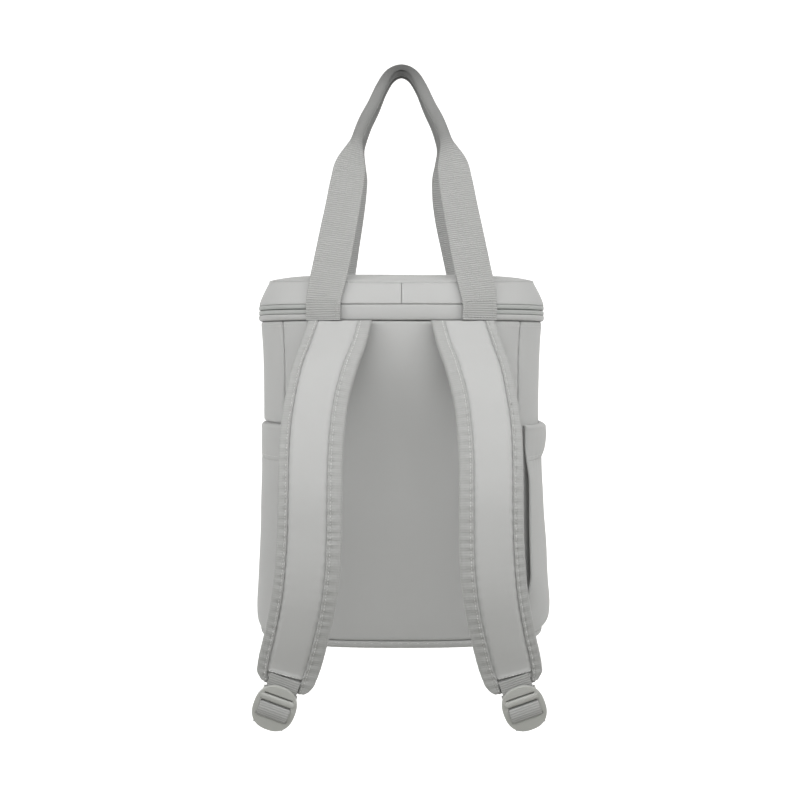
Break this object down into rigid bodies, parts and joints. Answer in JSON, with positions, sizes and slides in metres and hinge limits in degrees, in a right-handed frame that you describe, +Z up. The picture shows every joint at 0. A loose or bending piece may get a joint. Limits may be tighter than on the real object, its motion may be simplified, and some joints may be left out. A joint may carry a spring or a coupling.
{
  "type": "cooler backpack",
  "caption": "Soft insulated cooler backpack with a zipped lid, webbing carry handles, padded shoulder straps and side pockets, as it hangs by its handles.",
  "frame": {"origin": "hang point in the middle of the bag, under the top of the two carry grips", "axes": "+Z up, the wearer's side faces -Y, +X to the right when looking at the wearer's side"},
  "size_m": [0.3133, 0.2921, 0.6684],
  "materials": {
    "body_cloth": "smooth matt coated cloth over padding, fine plain weave",
    "strap_cloth": "smooth matt coated cloth over foam, fine plain weave",
    "binding_cloth": "folded cloth binding with a stitch line",
    "strap_trim": "ribbed binding tape with a stitch line",
    "webbing": "ribbed woven webbing",
    "zip_tape": "fine woven zip tape",
    "zip_coil": "moulded zip coil",
    "slider_metal": "painted zip slider and pull",
    "lock_plastic": "moulded plastic with a soft satin sheen"
  },
  "bodies": {
    "root": {"back_panel": "body_cloth", "front_panel": "body_cloth", "side_panel_left": "body_cloth", "side_panel_right": "body_cloth", "base_panel": "body_cloth", "base_binding": "binding_cloth", "rim_band": "body_cloth", "zip_tape_lower": "zip_tape", "zip_tape_upper": "zip_tape", "zip_coil": "zip_coil", "lid_hinge": "body_cloth", "lid_side_band": "body_cloth", "lid_top_panel": "body_cloth", "zip_slider_left": "slider_metal", "zip_slider_right": "slider_metal", "handle_back": "webbing", "handle_front": "webbing", "pocket_left": "body_cloth", "pocket_hem_left": "body_cloth", "pocket_right": "body_cloth", "pocket_hem_right": "body_cloth", "strap_pad_left": "strap_cloth", "strap_trim_inner_left": "strap_trim", "strap_trim_outer_left": "strap_trim", "ladder_lock_left": "lock_plastic", "strap_tab_left": "webbing", "adjust_webbing_left": "webbing", "strap_pad_right": "strap_cloth", "strap_trim_inner_right": "strap_trim", "strap_trim_outer_right": "strap_trim", "ladder_lock_right": "lock_plastic", "strap_tab_right": "webbing", "adjust_webbing_right": "webbing"}
  },
  "joints": []
}
